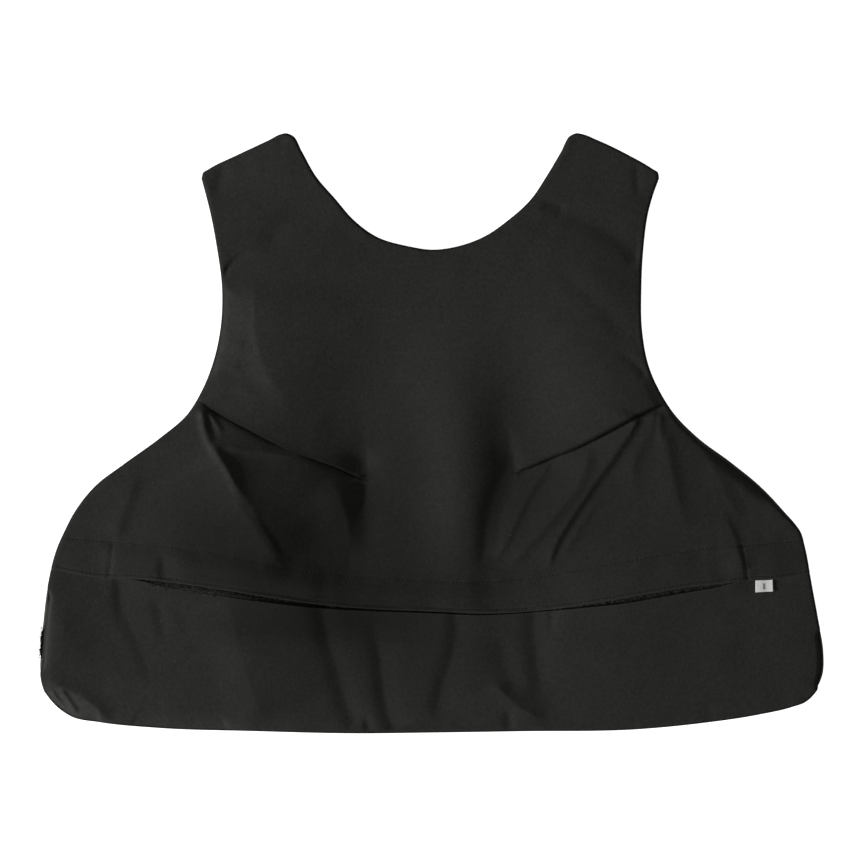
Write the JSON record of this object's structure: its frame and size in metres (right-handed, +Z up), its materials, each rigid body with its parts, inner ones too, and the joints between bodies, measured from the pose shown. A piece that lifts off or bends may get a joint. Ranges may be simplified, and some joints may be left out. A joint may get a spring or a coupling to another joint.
{
  "type": "bulletproof vest front panel",
  "caption": "Flat-lying front panel of a soft armour vest, cut for a bust, with stitched darts and a hemmed slot with loop tape across the body side.",
  "frame": {"origin": "middle of the panel's box, on the surface that it lies on", "axes": "+Z up, out of the body side; +Y towards the neck opening; +X to the right of a viewer who looks down on the body side"},
  "size_m": [0.5236, 0.3998, 0.0255],
  "materials": {
    "outer_cover": "matt woven cloth",
    "armour_pack": "sealed soft pack, faint sheen",
    "upper_cover": "matt fine woven cloth",
    "hem_facing": "matt woven tape",
    "loop_tape": "matt brushed loop pile",
    "lower_cover": "matt fine woven cloth",
    "edge_tape": "matt brushed loop pile",
    "size_label": "matt white woven ribbon"
  },
  "bodies": {
    "root": {"outer_cover": "outer_cover", "armour_pack": "armour_pack", "upper_cover": "upper_cover", "hem_facing": "hem_facing", "loop_tape": "loop_tape", "lower_cover": "lower_cover", "edge_tape": "edge_tape", "size_label": "size_label"}
  },
  "joints": []
}
